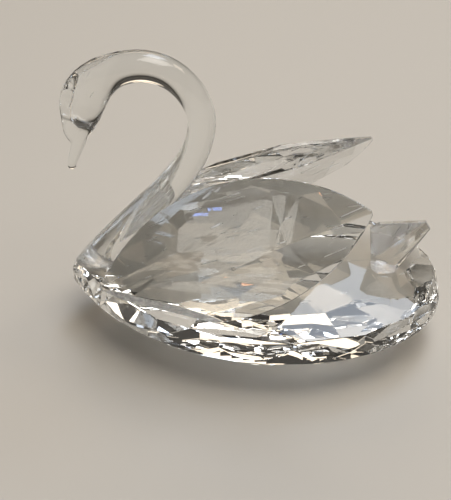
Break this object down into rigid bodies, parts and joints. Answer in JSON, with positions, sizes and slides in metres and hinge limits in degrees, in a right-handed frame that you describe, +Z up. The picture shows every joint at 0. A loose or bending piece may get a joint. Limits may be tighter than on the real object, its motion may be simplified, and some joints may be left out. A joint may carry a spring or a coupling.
{
  "type": "swan figurine",
  "caption": "Clear cut crystal swan with a faceted pear shaped body on a flat base, pointed oval wings, a small wedge tail and an arched rod neck with a drawn beak.",
  "frame": {"origin": "middle of the overall bounding box in plan, at the height of the ground flat the figurine stands on", "axes": "+X from the breast towards the tail, so the swan faces -X; +Y to the swan's right; +Z up"},
  "size_m": [0.0666, 0.041, 0.0561],
  "materials": {
    "cut_crystal_body": "clear lead crystal, ground and polished facets",
    "cut_crystal_left_wing": "clear lead crystal, ground and polished facets",
    "cut_crystal_right_wing": "clear lead crystal, ground and polished facets",
    "cut_crystal_tail": "clear lead crystal, ground and polished facets",
    "drawn_crystal_neck": "clear lead crystal, fire polished rod"
  },
  "bodies": {
    "root": {"body": "cut_crystal_body", "left_wing": "cut_crystal_left_wing", "right_wing": "cut_crystal_right_wing", "tail": "cut_crystal_tail", "neck": "drawn_crystal_neck"}
  },
  "joints": []
}
